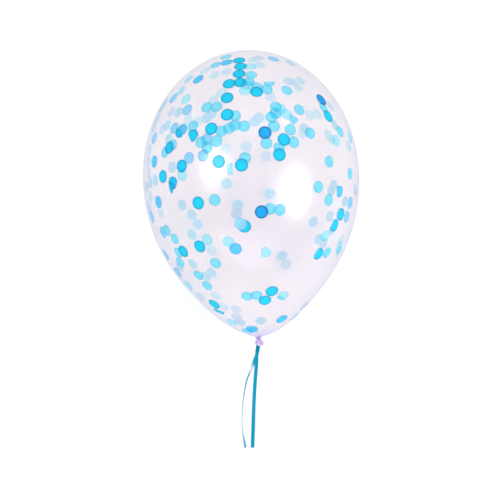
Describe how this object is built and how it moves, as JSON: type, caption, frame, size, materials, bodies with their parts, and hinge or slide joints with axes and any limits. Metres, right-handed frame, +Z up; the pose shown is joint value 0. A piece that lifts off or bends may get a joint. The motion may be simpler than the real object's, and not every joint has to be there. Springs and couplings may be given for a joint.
{
  "type": "confetti balloon",
  "caption": "Clear latex party balloon with loose paper confetti sealed inside, knotted and tied with a turquoise ribbon, lying on its side.",
  "frame": {"origin": "middle of the flat spot that the balloon lies on, under its belly", "axes": "+Z up, +Y along the floor towards the crown, so the neck and ribbon point along -Y"},
  "size_m": [0.3, 0.5171, 0.3057],
  "materials": {
    "clear_latex": "gloss",
    "turquoise_ribbon": "satin"
  },
  "bodies": {
    "root": {"latex_balloon": "clear_latex", "ribbon_tie": "turquoise_ribbon", "ribbon_tail_broad": "turquoise_ribbon", "ribbon_tail_narrow": "turquoise_ribbon"}
  },
  "joints": []
}
